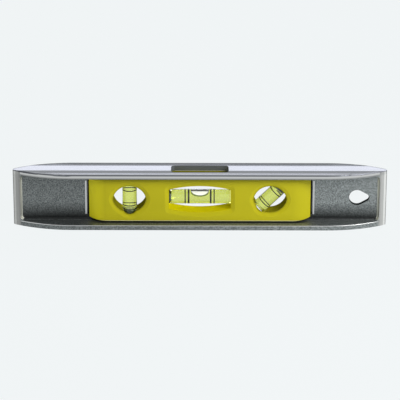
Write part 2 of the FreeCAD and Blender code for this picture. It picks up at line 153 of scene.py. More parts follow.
# The casting. A "Tone" entry is two levels of a coordinate and the brightness at each. These tones and shades
# are drawn into the material and don't come from the lights.
castLook = {
    "lacquerDark": "#4e5252",    # silver-grey lacquer in the hollows of its grain
    "lacquerLight": "#8b9090",   # and on its crests
    "lacquerMetal": 0.7,         # share of metal flake in the lacquer
    "lacquerGloss": 0.5,
    "lacquerRoughness": (0.34, 0.46),
    "grainSize": 0.7 * mm,       # the lacquer dries in a grain about this wide
    "grainHeight": 0.05 * mm,
    "grainMix": (0.38, 0.64),    # noise values at which the grain is all dark and all light
    # painted light: the lacquer is drawn brighter towards +X
    "lengthTone": (-75.0 * mm, 85.0 * mm, 0.95, 1.4),

    "cornerShade": 0.07,         # painted shade: brightness low on the pockets' walls
    "floorShade": 0.85,          # and on the rail under them
    "floorFacing": (0.7, 0.95),
    "cornerHeights": (15.0 * mm, 5.0 * mm),
    "cornerInset": (1.2 * mm, 2.2 * mm),    # how far in from the outline that shade sets in
    "taperStart": 78.0 * mm,     # the outline narrows from here to the tips
    "tipHalfWidth": 1.2 * mm,
    "underShade": 0.15,          # painted shadow: brightness of the rail under the housing
    "underAlong": (68.0 * mm, 60.0 * mm),
    "underAcross": (7.6 * mm, 6.4 * mm),
    "underTop": 5.0 * mm,
    "holeShade": 0.1,            # painted shade: brightness of the hang hole's wall
    "holeStart": 80.0 * mm,
    "holeHalfHeight": 6.0 * mm,
    "holeHalfDepth": 1.45 * mm,
    "windowShadeGrey": "#7c828a",     # painted shade: the window's walls, drawn dark blue-grey
    "windowHalfLength": 18.5 * mm,
    "windowHalfWidth": 6.5 * mm,
    "windowFoot": 32.0 * mm,

    "groundMetal": "#787a83",    # bare aluminium on the two ground edges
    "groundRoughness": (0.13, 0.2),
    "grindPitch": 0.5 * mm,      # real grinding marks are nearer 0.1 mm: drawn coarser so that they show
    "grindHeight": 0.003 * mm,
    "grindStretch": 0.03,        # the marks run along the tool
    "topStart": 35.0 * mm,
    "topFacing": (0.1, 0.3),
    "footEnd": 0.3 * mm,
    "footFacing": (-0.8, -0.95),
    "rearStripShade": 0.42,      # painted shade: brightness of the strip behind the groove
    "rearStripWidth": (4.1 * mm, 1.0 * mm),    # in the middle and towards the tips
    "rearStripTaper": (0.0, 0.7),
    "rearStripFade": 0.4 * mm,
    # painted shade: the top edge drawn darker in front of the groove's bottom, darker again on the front strip
    "grooveTone": (-2.2 * mm, -2.8 * mm, 1.0, 0.7),
    "frontStripTone": (-7.6 * mm, -8.0 * mm, 1.0, 0.8),
    "drawnSlopes": (             # across from, across to, and the rise between them that the bump shows
        (5.3 * mm, 7.5 * mm, -0.176 * mm), (-2.4 * mm, 0.0, 0.384 * mm), (-9.7 * mm, -7.8 * mm, 0.1235 * mm)),

    "highlitMetal": "#c9c9c8",    # painted highlight: brighter metal on the top rail's outer faces and on the lips
    "highlitRoughness": 0.36,
    "railFoot": 33.5 * mm,
    "railFacing": 0.6,
    # painted shade at the foot of the top rail's outer faces
    "railTone": (33.9 * mm, 34.3 * mm, 0.5, 1.0),
    "mouthHeights": (2.88 * mm, 3.32 * mm),    # the bottom rail's upper edges
    "mouthFacing": 0.96,
    "lipAlong": (69.3 * mm, 70.26 * mm),       # the upright lips beside the housing
    "lipAcross": (1.65 * mm, 1.95 * mm),
    "lipHeights": (7.0 * mm, 29.4 * mm),
    "rimMetal": "#a0a1a6",       # painted highlight: the upper half of the rounded rim
    "rimShadow": "#54555a",      # its lower half
    "rimFacing": 0.98,
    "rimTurn": (0.8, 0.65),      # how far the surface faces up where the one gives way to the other

    "endMetal": "#a6a6a4",       # the end walls
    "endStart": 109.7 * mm,
    # painted light and shade on the end walls: brighter towards +X, darker on the pocket side and at the outer edge
    "endLengthTone": (-100.0 * mm, 100.0 * mm, 0.9, 1.2),
    "endPocketTone": (109.8 * mm, 111.3 * mm, 0.72, 1.0),
    "endOuterTone": (113.8 * mm, 114.0 * mm, 1.0, 0.45),
    "endLine": (112.55 * mm, 113.75 * mm),
    "endLineShade": 1.55,        # painted highlight: the light line inside each upright outer edge
    "endInside": "#c6c6ba",      # painted light: the end walls' faces towards the pockets
    "endInsideAlong": (104.0 * mm, 109.9 * mm),
    "endInsideFacing": 0.5,
}


def castAluminium(look):
    # die-cast aluminium in sprayed silver-grey lacquer, the two long edges ground bare:
    # a mottled satin grain in the pockets against smooth, lightly streaked metal
    material, tree, shader = newMaterial("castAluminiumLacquered", {})
    place, at, away, facing, lean = coordinates(tree)
    along, across = away["X"], away["Y"]

    # ground bare: the top down to its rim, and the underside
    top = zone(tree, (facing["Z"], *look["topFacing"]), above(at["Z"], look["topStart"]))
    foot = zone(tree, (facing["Z"], *look["footFacing"]), below(at["Z"], look["footEnd"]))
    ground = addNode(tree, "ShaderNodeMath", {0: top, 1: foot}, operation="MAXIMUM").outputs[0]
    rim = addNode(tree, "ShaderNodeMath", {0: zone(tree, below(facing["Z"], look["rimFacing"])), 1: top},
                  operation="MULTIPLY").outputs[0]

    # painted highlights: the top rail's outer faces, the bottom rail's upper edges and the lips
    inWindow = zone(tree, below(along, look["windowHalfLength"]), below(across, look["windowHalfWidth"]))
    rail = zone(tree, above(at["Z"], look["railFoot"]), below(lean["Z"], look["railFacing"]), (inWindow, 1.0, 0.0))
    mouthLow, mouthHigh = look["mouthHeights"]
    mouth = zone(tree, above(at["Z"], mouthLow), below(at["Z"], mouthHigh), below(facing["Z"], look["mouthFacing"]))
    lipLimits = []
    for value, key in ((along, "lipAlong"), (across, "lipAcross"), (at["Z"], "lipHeights")):
        low, high = look[key]
        lipLimits += [above(value, low), below(value, high)]
    edges = addNode(tree, "ShaderNodeMath", {0: rail, 1: mouth}, operation="MAXIMUM").outputs[0]
    highlit = addNode(tree, "ShaderNodeMath", {0: edges, 1: zone(tree, *lipLimits)}, operation="MAXIMUM").outputs[0]
    bare = addNode(tree, "ShaderNodeMath", {0: ground, 1: highlit}, operation="MAXIMUM").outputs[0]

    # distance in from the boat-shaped outline, which narrows towards the tips
    tipAlong, middleHalfWidth, _ = cadBox[1]
    tip = zone(tree, (along, look["taperStart"], tipAlong))
    narrowing = addNode(tree, "ShaderNodeMath", {0: tip, 1: 2.0}, operation="POWER").outputs[0]
    halfWidth = addNode(tree, "ShaderNodeMath", {0: narrowing, 1: look["tipHalfWidth"] - middleHalfWidth,
                                                 2: middleHalfWidth}, operation="MULTIPLY_ADD").outputs[0]
    inset = addNode(tree, "ShaderNodeMath", {0: halfWidth, 1: across}, operation="SUBTRACT").outputs[0]

    # the lacquer: its grain, with painted shade low in the pockets, under the housing and in the hang hole, and
    # painted light towards +X
    grain = addNode(tree, "ShaderNodeTexNoise", {"Vector": place, "Scale": 1 / look["grainSize"], "Detail": 3.0,
                                                 "Roughness": 0.7}).outputs[0]
    sprayed = addNode(tree, "ShaderNodeMix", {0: zone(tree, (grain, *look["grainMix"])),
                                              6: toLinear(look["lacquerDark"]),
                                              7: toLinear(look["lacquerLight"])}, data_type="RGBA").outputs[2]
    lowDown = zone(tree, (at["Z"], *look["cornerHeights"]), (inset, *look["cornerInset"]))
    flatFrom, flatTo = look["floorFacing"]
    lowShade = addNode(tree, "ShaderNodeMapRange", {0: facing["Z"], 1: flatFrom, 2: flatTo, 3: look["cornerShade"],
                                                    4: look["floorShade"]}).outputs[0]
    # painted shadow of the housing on the rail
    under = zone(tree, (along, *look["underAlong"]), below(at["Z"], look["underTop"]),
                 (across, *look["underAcross"]))
    inHole = zone(tree, below(across, look["holeHalfDepth"]), above(at["X"], look["holeStart"]),
                  above(at["Z"], vialHeight - look["holeHalfHeight"]),
                  below(at["Z"], vialHeight + look["holeHalfHeight"]))
    shaded = toned(tree, sprayed, (lowDown, 0.0, 1.0, 1.0, lowShade), (under, 0.0, 1.0, 1.0, look["underShade"]),
                   (inHole, 0.0, 1.0, 1.0, look["holeShade"]), (at["X"], *look["lengthTone"]))

    # the painted highlight's metal, with painted shade at the foot of the top rail's outer faces
    footFrom, footTo, footDark, footLight = look["railTone"]
    railShade = addNode(tree, "ShaderNodeMapRange", {0: at["Z"], 1: footFrom, 2: footTo, 3: footDark,
                                                     4: footLight}).outputs[0]
    highlitTone = toned(tree, toLinear(look["highlitMetal"])[:3], (rail, 0.0, 1.0, 1.0, railShade))
    # painted shade on the window's walls
    windowWall = zone(tree, (inWindow, 0.0, 1.0), above(at["Z"], look["windowFoot"]))

    # the end walls: a painted highlight line inside each upright outer edge, painted shade on the edge itself and on
    # the pocket side, and painted light towards +X
    lineLow, lineHigh = look["endLine"]
    endLine = zone(tree, above(along, lineLow), below(along, lineHigh))
    endTone = toned(tree, toLinear(look["endMetal"])[:3], (endLine, 0.0, 1.0, 1.0, look["endLineShade"]),
                    (along, *look["endPocketTone"]), (along, *look["endOuterTone"]), (at["X"], *look["endLengthTone"]))
    insideLow, insideHigh = look["endInsideAlong"]
    endInside = zone(tree, above(lean["X"], look["endInsideFacing"]), above(along, insideLow),
                     below(along, insideHigh))

    # painted shade: the ground strips are drawn a little darker than the groove between them
    taperFrom, taperTo = look["rearStripTaper"]
    wide, narrow = look["rearStripWidth"]
    stripWidth = addNode(tree, "ShaderNodeMapRange", {0: tip, 1: taperFrom, 2: taperTo, 3: wide,
                                                      4: narrow}).outputs[0]
    strip = addNode(tree, "ShaderNodeMath", {0: inset, 1: stripWidth}, operation="SUBTRACT").outputs[0]
    rearStrip = zone(tree, (strip, look["rearStripFade"], -look["rearStripFade"]), above(at["Y"], 0.0))
    groundTone = toned(tree, toLinear(look["groundMetal"])[:3],
                       (rearStrip, 0.0, 1.0, 1.0, look["rearStripShade"]), (at["Y"], *look["grooveTone"]),
                       (at["Y"], *look["frontStripTone"]))
    rimTone = addNode(tree, "ShaderNodeMix", {0: zone(tree, (facing["Z"], *look["rimTurn"])),
                                              6: toLinear(look["rimMetal"]),
                                              7: toLinear(look["rimShadow"])}, data_type="RGBA").outputs[2]
    rimmed = addNode(tree, "ShaderNodeMix", {0: rim, 6: groundTone, 7: rimTone}, data_type="RGBA").outputs[2]

    colour = shaded
    for share, coat in ((windowWall, toLinear(look["windowShadeGrey"])), (highlit, highlitTone),
                        (zone(tree, above(along, look["endStart"])), endTone),
                        (endInside, toLinear(look["endInside"])), (ground, rimmed)):
        colour = addNode(tree, "ShaderNodeMix", {0: share, 6: colour, 7: coat}, data_type="RGBA").outputs[2]

    # satin lacquer, smoother ground metal, and no shine inside the hang hole
    stretched = addNode(tree, "ShaderNodeMapping", {"Vector": place,
                                                    "Scale": (look["grindStretch"], 1.0, 1.0)}).outputs[0]
    streaks = addNode(tree, "ShaderNodeTexNoise", {"Vector": stretched, "Scale": 1 / look["grindPitch"],
                                                   "Detail": 2.0}).outputs[0]
    flake = addNode(tree, "ShaderNodeMapRange", {0: bare, 3: look["lacquerMetal"], 4: 1.0}).outputs[0]
    metal = addNode(tree, "ShaderNodeMath", {0: flake, 1: zone(tree, (inHole, 1.0, 0.0))},
                    operation="MULTIPLY").outputs[0]
    gloss = addNode(tree, "ShaderNodeMapRange", {0: inHole, 3: look["lacquerGloss"], 4: 0.0}).outputs[0]
    roughs = []
    for pattern, key in ((grain, "lacquerRoughness"), (streaks, "groundRoughness")):
        smooth, coarse = look[key]
        roughs.append(addNode(tree, "ShaderNodeMapRange", {0: pattern, 1: 0.3, 2: 0.7, 3: smooth,
                                                           4: coarse}).outputs[0])
    plainRough = addNode(tree, "ShaderNodeMix", {0: bare, 2: roughs[0], 3: roughs[1]}).outputs[0]
    edged = addNode(tree, "ShaderNodeMath", {0: rim, 1: highlit}, operation="MAXIMUM").outputs[0]
    edgeRough = addNode(tree, "ShaderNodeMath", {0: edged, 1: look["highlitRoughness"]},
                        operation="MULTIPLY").outputs[0]
    rough = addNode(tree, "ShaderNodeMath", {0: plainRough, 1: edgeRough}, operation="MAXIMUM").outputs[0]

    # bumps: the grinding marks on slopes that split the top edge into its tones, and the lacquer's grain
    height = addNode(tree, "ShaderNodeMath", {0: streaks, 1: look["grindHeight"]}, operation="MULTIPLY").outputs[0]
    for start, end, rise in look["drawnSlopes"]:
        slope = addNode(tree, "ShaderNodeMapRange", {0: at["Y"], 1: start, 2: end, 3: 0.0, 4: rise}).outputs[0]
        height = addNode(tree, "ShaderNodeMath", {0: height, 1: slope}, operation="ADD").outputs[0]
    groundBump = addNode(tree, "ShaderNodeBump", {"Height": height, "Distance": 1.0}).outputs[0]
    grainBump = addNode(tree, "ShaderNodeBump", {"Height": grain, "Distance": look["grainHeight"]}).outputs[0]
    bumps = addNode(tree, "ShaderNodeMix", {0: ground, 4: grainBump, 5: groundBump}, data_type="VECTOR").outputs[1]
    for name, value in (("Base Color", colour), ("Metallic", metal), ("Specular IOR Level", gloss),
                        ("Roughness", rough), ("Normal", bumps)):
        tree.links.new(value, shader.inputs[name])
    return material


setMaterial(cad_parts["body_frame"], castAluminium(castLook))
print("casting finished")


# The vial housing. Here too painted light and shade are drawn into the material as tones.
housingLook = {
    "colour": "#bdb41a",
    "cloudy": "#b5ad1a",
    "cloudSize": 25.0 * mm,
    "roughness": (0.3, 0.38),
    "gloss": 0.12,
    "ripple": 2.5 * mm,          # faint sink and flow marks of the moulding
    "rippleHeight": 0.006 * mm,
    # painted shadow of the top rail: darker towards the top
    "topTone": (29.5 * mm, 32.6 * mm, 1.0, 0.55),
    # painted light: lighter towards the left end
    "leftEndTone": (-58.0 * mm, -67.0 * mm, 1.0, 1.9),
    # painted light: a little lighter low down
    "lowTone": (14.0 * mm, 4.0 * mm, 1.0, 1.1),
    "topShade": 0.6,             # painted shade: brightness of the faces that look up into the casting
    "topFacing": 0.7,
    "topStart": 30.0 * mm,
    "edge": "#bcb318",           # round the openings, where the edge dips in
    "edgeDepths": (5.88 * mm, 5.7 * mm),
    "deep": "#7a7412",           # painted shade: inside the side openings
    "middle": "#c4b80a",         # painted light: inside the middle one
    "middleAlong": (30.0 * mm, 28.0 * mm),
    "wallDepths": (5.4 * mm, 4.9 * mm),
    "openingsEnd": 56.5 * mm,
    "openingsHalfHeight": 12.0 * mm,
    "lowEdge": "#f4f2b8",        # painted highlight: the lower edge, drawn as a pale line
    "lowEdgeHeights": (4.7 * mm, 4.4 * mm),
    "tongueShade": "#14140a",           # painted shade: the tongues that go under the casting's lips, drawn near black
    "tongueShadeStart": 67.8 * mm,
}


def mouldedAbs(look):
    # injection-moulded ABS, self-coloured yellow-green: even low gloss with a very slight ripple
    material, tree, shader = newMaterial("mouldedAbsYellow", {"IOR": 1.54})
    place, at, away, facing, _ = coordinates(tree)
    ripple = addNode(tree, "ShaderNodeTexNoise", {"Vector": place, "Scale": 1 / look["ripple"],
                                                  "Detail": 2.0}).outputs[0]
    cloud = addNode(tree, "ShaderNodeTexNoise", {"Vector": place, "Scale": 1 / look["cloudSize"],
                                                 "Detail": 1.0}).outputs[0]
    plain = addNode(tree, "ShaderNodeMix", {0: cloud, 6: toLinear(look["cloudy"]), 7: toLinear(look["colour"])},
                    data_type="RGBA").outputs[2]
    onTop = zone(tree, above(facing["Z"], look["topFacing"]), above(at["Z"], look["topStart"]))
    colour = toned(tree, plain, (at["Z"], *look["topTone"]), (at["X"], *look["leftEndTone"]),
                   (onTop, 0.0, 1.0, 1.0, look["topShade"]), (at["Z"], *look["lowTone"]))

    # the openings: their dipped edges and their walls, with painted shade in the side openings and painted light in
    # the middle one; then the lower edge's painted highlight and the tongues' painted shade
    nearOpening = (below(away["X"], look["openingsEnd"]),
                   above(at["Z"], vialHeight - look["openingsHalfHeight"]),
                   below(at["Z"], vialHeight + look["openingsHalfHeight"]))
    border = zone(tree, (away["Y"], *look["edgeDepths"]), *nearOpening)
    wall = zone(tree, (away["Y"], *look["wallDepths"]), *nearOpening)
    inner = addNode(tree, "ShaderNodeMix", {0: zone(tree, (away["X"], *look["middleAlong"])),
                                            6: toLinear(look["deep"]), 7: toLinear(look["middle"])},
                    data_type="RGBA").outputs[2]
    for share, coat in ((border, toLinear(look["edge"])),
                        (zone(tree, (at["Z"], *look["lowEdgeHeights"])), toLinear(look["lowEdge"])), (wall, inner),
                        (zone(tree, above(away["X"], look["tongueShadeStart"])), toLinear(look["tongueShade"]))):
        colour = addNode(tree, "ShaderNodeMix", {0: share, 6: colour, 7: coat}, data_type="RGBA").outputs[2]

    gloss = addNode(tree, "ShaderNodeMapRange", {0: wall, 3: look["gloss"], 4: 0.0}).outputs[0]
    smooth, coarse = look["roughness"]
    rough = addNode(tree, "ShaderNodeMapRange", {0: ripple, 1: 0.3, 2: 0.7, 3: smooth, 4: coarse}).outputs[0]
    bump = addNode(tree, "ShaderNodeBump", {"Height": ripple, "Distance": look["rippleHeight"]}).outputs[0]
    for name, value in (("Base Color", colour), ("Specular IOR Level", gloss), ("Roughness", rough),
                        ("Normal", bump)):
        tree.links.new(value, shader.inputs[name])
    return material


housingPlastic = mouldedAbs(housingLook)
for node in ("front_vial_housing", "rear_vial_housing"):
    setMaterial(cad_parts[node], housingPlastic)
print("housing finished")


# The vials.
vialLook = {
    "tubeRadius": 4.45 * mm,
    "boreRadius": 3.1 * mm,
    "edgeRound": 0.2 * mm,
    "grooveDepth": 0.12 * mm,
    "bandInset": 0.03 * mm,      # the ink reaches this far into the tube's groove, so no air shows under it
    "bandStand": 0.01 * mm,
    "liquidOverlap": 0.02 * mm,  # the liquid wets the bore: a gap would show as silver
    "spigot": 1.0 * mm,          # the plug reaches this far into the bore
    "turns": 96,
    "sharpAngle": 35.0,          # degrees between faces that stay sharp
    "acrylic": "#f4f8ee",
    "haze": 0.035,               # highest roughness of the polish
    "hazeSize": 2.857 * mm,
    "tubeEdge": "#7d8a50",       # painted shade: a darker tint drawn along the plumb vial's two sides
    "tubeEdgeStart": 0.93,       # share of the tube's radius
    "tubeEdgeRight": -30.0 * mm,
    "tintedEnd": (17.8 * mm, 22.2 * mm),    # the level tube's solid end, painted in the liquid's colour in place of what shows through it
    "liquid": "#ebec80",
    "liquidPaler": 1.05,
    "driftSize": 8.333 * mm,
    "plug": "#2c3416",
    "plugPaler": "#3c471f",
    "plugRoughness": (0.3, 0.42),
    "mottleSize": 1.4286 * mm,
    "ink": "#14160f",
    "inkPaler": "#23261a",
    "inkRoughness": (0.5, 0.7),
    "wipeSize": 1.111 * mm,
}

# Where each vial lies: the millimetres of its ends and bands are along its own axis from its middle.
vials = {
    "level": {"x": 0.0, "tilt": 0.0, "half": 20.6, "closedEnd": 2.6, "plug": 2.3,
              "bands": {"thick": (6.75, 0.85), "thin": (8.85, 0.5)}},
    "plumb": {"x": -43.0, "tilt": 90.0, "half": 10.008, "closedEnd": 1.2, "plug": 1.8,
              "bands": {"ring": (4.8, 0.6)}},
    "diagonal": {"x": 43.0, "tilt": 225.0, "half": 10.008, "closedEnd": 1.2, "plug": 1.8,    # its plug is on top
                 "bands": {"ring": (4.8, 0.6)}},
}


def vialPlace(vial):
    # turns a piece made along X into its vial's place
    return Matrix.Translation((vial["x"] * mm, 0, vialHeight)) @ Matrix.Rotation(-math.radians(vial["tilt"]), 4, "Y")


def latheMesh(name, profile, look, place):
    # closed shape of revolution about X, from (along, radius) points that start and end on the axis
    turns = look["turns"]
    shape = bmesh.new()
    rows = []
    for along, radius in profile:
        if radius == 0:
            rows.append([shape.verts.new((along, 0, 0))])
            continue
        angles = [2 * math.pi * i / turns for i in range(turns)]
        rows.append([shape.verts.new((along, radius * math.sin(a), radius * math.cos(a))) for a in angles])
    for low, high in zip(rows, rows[1:]):
        for i in range(turns):
            j = (i + 1) % turns
            corners = [low[i % len(low)], low[j % len(low)], high[j % len(high)], high[i % len(high)]]
            shape.faces.new(list(dict.fromkeys(corners)))
    bmesh.ops.recalc_face_normals(shape, faces=shape.faces)
    shape.transform(place)
    mesh = bpy.data.meshes.new(name)
    shape.to_mesh(mesh)
    shape.free()
    mesh.polygons.foreach_set("use_smooth", [True] * len(mesh.polygons))
    mesh.set_sharp_from_angle(angle=math.radians(look["sharpAngle"]))
    return meshObject(name, mesh)


def roundCorner(along, radius, size, alongSide, radiusSide):
    # quarter-round corner of a lathe profile; the sides say which way the solid lies
    steps = 4
    angles = [math.pi / 2 * i / steps for i in range(steps + 1)]
    return [(along + alongSide * size * (1 - math.sin(a)), radius + radiusSide * size * (1 - math.cos(a)))
            for a in angles]


def clearAcrylic(look):
    # turned and polished acrylic rod: glass-clear, with the faint haze of a polish
    material, tree, shader = newMaterial("clearPolishedAcrylic", {"Transmission Weight": 1.0, "IOR": 1.49})
    place = addNode(tree, "ShaderNodeTexCoord").outputs["Object"]
    at = addNode(tree, "ShaderNodeSeparateXYZ", {0: place}).outputs
    haze = addNode(tree, "ShaderNodeTexNoise", {"Vector": place, "Scale": 1 / look["hazeSize"], "Detail": 3.0})
    rough = addNode(tree, "ShaderNodeMapRange", {0: haze.outputs[0], 3: 0.0, 4: look["haze"]})
    # one solid end is painted in the liquid's colour in place of what shows through it, and painted shade darkens the
    # plumb tube's sides
    endLow, endHigh = look["tintedEnd"]
    rightEnd = zone(tree, above(at["X"], endLow), below(at["X"], endHigh))
    offset = addNode(tree, "ShaderNodeMath", {0: at["X"], 1: vials["plumb"]["x"] * mm}, operation="SUBTRACT")
    offAxis = addNode(tree, "ShaderNodeMath", {0: offset.outputs[0]}, operation="ABSOLUTE").outputs[0]
    plumbEdge = zone(tree, above(offAxis, look["tubeRadius"] * look["tubeEdgeStart"]),
                     below(at["X"], look["tubeEdgeRight"]))
    colour = toLinear(look["acrylic"])
    for share, key in ((rightEnd, "liquid"), (plumbEdge, "tubeEdge")):
        colour = addNode(tree, "ShaderNodeMix", {0: share, 6: colour, 7: toLinear(look[key])},
                         data_type="RGBA").outputs[2]
    tree.links.new(colour, shader.inputs["Base Color"])
    tree.links.new(rough.outputs[0], shader.inputs["Roughness"])
    return material


def vialLiquid(look):
    # dyed alcohol: clear yellow-green, which tints what is seen through it
    material, tree, shader = newMaterial("dyedVialLiquid", {"Transmission Weight": 1.0, "IOR": 1.36,
                                                            "Roughness": 0.0})
    place = addNode(tree, "ShaderNodeTexCoord").outputs["Object"]
    drift = addNode(tree, "ShaderNodeTexNoise", {"Vector": place, "Scale": 1 / look["driftSize"], "Detail": 1.0})
    tint = toLinear(look["liquid"])
    paler = [min(1.0, c * look["liquidPaler"]) for c in tint[:3]] + [1.0]
    colour = addNode(tree, "ShaderNodeMix", {0: drift.outputs[0], 6: tint, 7: paler}, data_type="RGBA")
    tree.links.new(colour.outputs[2], shader.inputs["Base Color"])
    return material


def mottled(name, shaderSettings, look, part, sizeKey):
    # two close tones of one colour, and the roughness that goes with them
    material, tree, shader = newMaterial(name, shaderSettings)
    place = addNode(tree, "ShaderNodeTexCoord").outputs["Object"]
    noise = addNode(tree, "ShaderNodeTexNoise", {"Vector": place, "Scale": 1 / look[sizeKey], "Detail": 2.0})
    colour = addNode(tree, "ShaderNodeMix", {0: noise.outputs[0], 6: toLinear(look[part]),
                                             7: toLinear(look[part + "Paler"])}, data_type="RGBA")
    smooth, coarse = look[part + "Roughness"]
    rough = addNode(tree, "ShaderNodeMapRange", {0: noise.outputs[0], 3: smooth, 4: coarse})
    tree.links.new(colour.outputs[2], shader.inputs["Base Color"])
    tree.links.new(rough.outputs[0], shader.inputs["Roughness"])
    return material


def printedInk(look):
    # black ink wiped into a turned groove: matt, slightly uneven
    return mottled("blackGrooveInk", {}, look, "ink", "wipeSize")


def mouldedPlug(look):
    # moulded polyethylene plug, dark green: soft waxy sheen; drawn this dark also as painted shade for the dark arc at
    # the vial's end
    return mottled("mouldedPlugGreen", {"IOR": 1.51}, look, "plug", "mottleSize")


def bandTree(material):
    # a pair of bands round a vial, either side of its middle
    tree = bpy.data.node_groups.new("graduationBands", "GeometryNodeTree")
    tree.interface.new_socket("Geometry", in_out="OUTPUT", socket_type="NodeSocketGeometry")
    sizes = ("Outer radius", "Inner radius", "Offset", "Width", "Corner")
    for name in sizes:
        tree.interface.new_socket(name, in_out="INPUT", socket_type="NodeSocketFloat")
    tree.interface.new_socket("Turns", in_out="INPUT", socket_type="NodeSocketInt")
    tree.interface.new_socket("Place", in_out="INPUT", socket_type="NodeSocketVector")
    tree.interface.new_socket("Tilt", in_out="INPUT", socket_type="NodeSocketVector")
    given = addNode(tree, "NodeGroupInput").outputs
    total = addNode(tree, "ShaderNodeMath", {0: given["Outer radius"], 1: given["Inner radius"]}, operation="ADD")
    middle = addNode(tree, "ShaderNodeMath", {0: total.outputs[0], 1: 0.5}, operation="MULTIPLY")
    depth = addNode(tree, "ShaderNodeMath", {0: given["Outer radius"], 1: given["Inner radius"]},
                    operation="SUBTRACT")
    circle = addNode(tree, "GeometryNodeCurvePrimitiveCircle", {"Resolution": given["Turns"],
                                                                "Radius": middle.outputs[0]})
    section = addNode(tree, "GeometryNodeCurvePrimitiveQuadrilateral", {"Width": depth.outputs[0],
                                                                        "Height": given["Width"]})
    softened = addNode(tree, "GeometryNodeFilletCurve", {"Curve": section.outputs[0], "Radius": given["Corner"],
                                                         "Count": 2}, mode="POLY")
    band = addNode(tree, "GeometryNodeCurveToMesh", {"Curve": circle.outputs[0],
                                                     "Profile Curve": softened.outputs[0]})
    onAxis = addNode(tree, "GeometryNodeTransform", {"Geometry": band.outputs[0],
                                                     "Rotation": (0, math.radians(90), 0)})
    below = addNode(tree, "ShaderNodeMath", {0: given["Offset"], 1: -1.0}, operation="MULTIPLY")
    apart = addNode(tree, "ShaderNodeMath", {0: given["Offset"], 1: 2.0}, operation="MULTIPLY")
    start = addNode(tree, "ShaderNodeCombineXYZ", {0: below.outputs[0]})
    step = addNode(tree, "ShaderNodeCombineXYZ", {0: apart.outputs[0]})
    places = addNode(tree, "GeometryNodeMeshLine", {"Count": 2, "Start Location": start.outputs[0],
                                                    "Offset": step.outputs[0]})
    pair = addNode(tree, "GeometryNodeInstanceOnPoints", {"Points": places.outputs[0],
                                                          "Instance": onAxis.outputs[0]})
    turned = addNode(tree, "GeometryNodeTransform", {"Geometry": pair.outputs[0], "Rotation": given["Tilt"],
                                                     "Translation": given["Place"]})
    real = addNode(tree, "GeometryNodeRealizeInstances", {0: turned.outputs[0]})
    inked = addNode(tree, "GeometryNodeSetMaterial", {"Geometry": real.outputs[0], "Material": material})
    addNode(tree, "NodeGroupOutput", {0: inked.outputs[0]})
    return tree


def vialBands(name, tree, vial, offset, width, look):
    obj = meshObject(name, bpy.data.meshes.new(name))
    modifier = obj.modifiers.new("bands", "NODES")
    modifier.node_group = tree
    values = {
        "Outer radius": look["tubeRadius"] + look["bandStand"],
        "Inner radius": look["tubeRadius"] - look["grooveDepth"] - look["bandInset"],
        "Offset": offset * mm, "Width": width * mm, "Corner": look["bandStand"], "Turns": look["turns"],
        "Place": (vial["x"] * mm, 0.0, vialHeight), "Tilt": (0.0, -math.radians(vial["tilt"]), 0.0),
    }
    for item in tree.interface.items_tree:
        if item.in_out == "INPUT":
            modifier[item.identifier] = values[item.name]
    return plainMesh(obj, name)


def vialTube(name, vial, look):
    # clear tube, bored from its plugged end, with a groove for each band
    half, radius, bore, edge = vial["half"] * mm, look["tubeRadius"], look["boreRadius"], look["edgeRound"]
    low, boreHigh = -half + vial["plug"] * mm, half - vial["closedEnd"] * mm
    profile = [(boreHigh, 0)] + roundCorner(boreHigh, bore, edge, -1, -1)[::-1] + [(low, bore)]
    profile += [(low, radius - edge)] + roundCorner(low, radius, edge, 1, -1)[::-1][1:]
    grooves = sorted((side * offset * mm, width * mm) for offset, width in vial["bands"].values()
                     for side in (-1, 1))
    for along, width in grooves:
        floor = radius - look["grooveDepth"]
        profile += [(along - width / 2, radius), (along - width / 2, floor), (along + width / 2, floor),
                    (along + width / 2, radius)]
    profile += roundCorner(half, radius, edge, -1, -1) + [(half, 0)]
    return latheMesh(name, profile, look, vialPlace(vial))


def vialLiquidColumn(name, vial, look):
    grow = look["liquidOverlap"]
    low = (vial["plug"] - vial["half"]) * mm + look["spigot"] - grow
    high = (vial["half"] - vial["closedEnd"]) * mm + grow
    radius, edge = look["boreRadius"] + grow, look["edgeRound"]
    profile = [(low, 0)] + roundCorner(low, radius, edge, 1, -1)[::-1]
    profile += roundCorner(high, radius, edge, -1, -1) + [(high, 0)]
    return latheMesh(name, profile, look, vialPlace(vial))


acrylic, liquid = clearAcrylic(vialLook), vialLiquid(vialLook)
ink, plugPlastic = printedInk(vialLook), mouldedPlug(vialLook)
bands = bandTree(ink)
bandNodes = {
    "level_thick": ("level_left_inner_ring", "level_right_inner_ring"),
    "level_thin": ("level_left_outer_ring", "level_right_outer_ring"),
    "plumb_ring": ("plumb_lower_ring", "plumb_upper_ring"),
    "diagonal_ring": ("diagonal_lower_ring", "diagonal_upper_ring"),
}
for name, vial in vials.items():
    tube = vialTube(name + "_clear_tube", vial, vialLook)
    finishPiece(tube, "root", "clear_acrylic", acrylic, name + "_vial_tube")
    column = vialLiquidColumn(name + "_liquid_column", vial, vialLook)
    finishPiece(column, "root", "vial_liquid", liquid, name + "_vial_liquid")
    for piece in (tube, column):
        piece.visible_shadow = False
    for key, (offset, width) in vial["bands"].items():
        pair = vialBands(f"{name}_{key}_bands", bands, vial, offset, width, vialLook)
        finishPiece(pair, "root", "ring_black", ink, *bandNodes[f"{name}_{key}"])
    setMaterial(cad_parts[name + "_vial_plug"], plugPlastic)
print("tubes, liquid and bands finished")


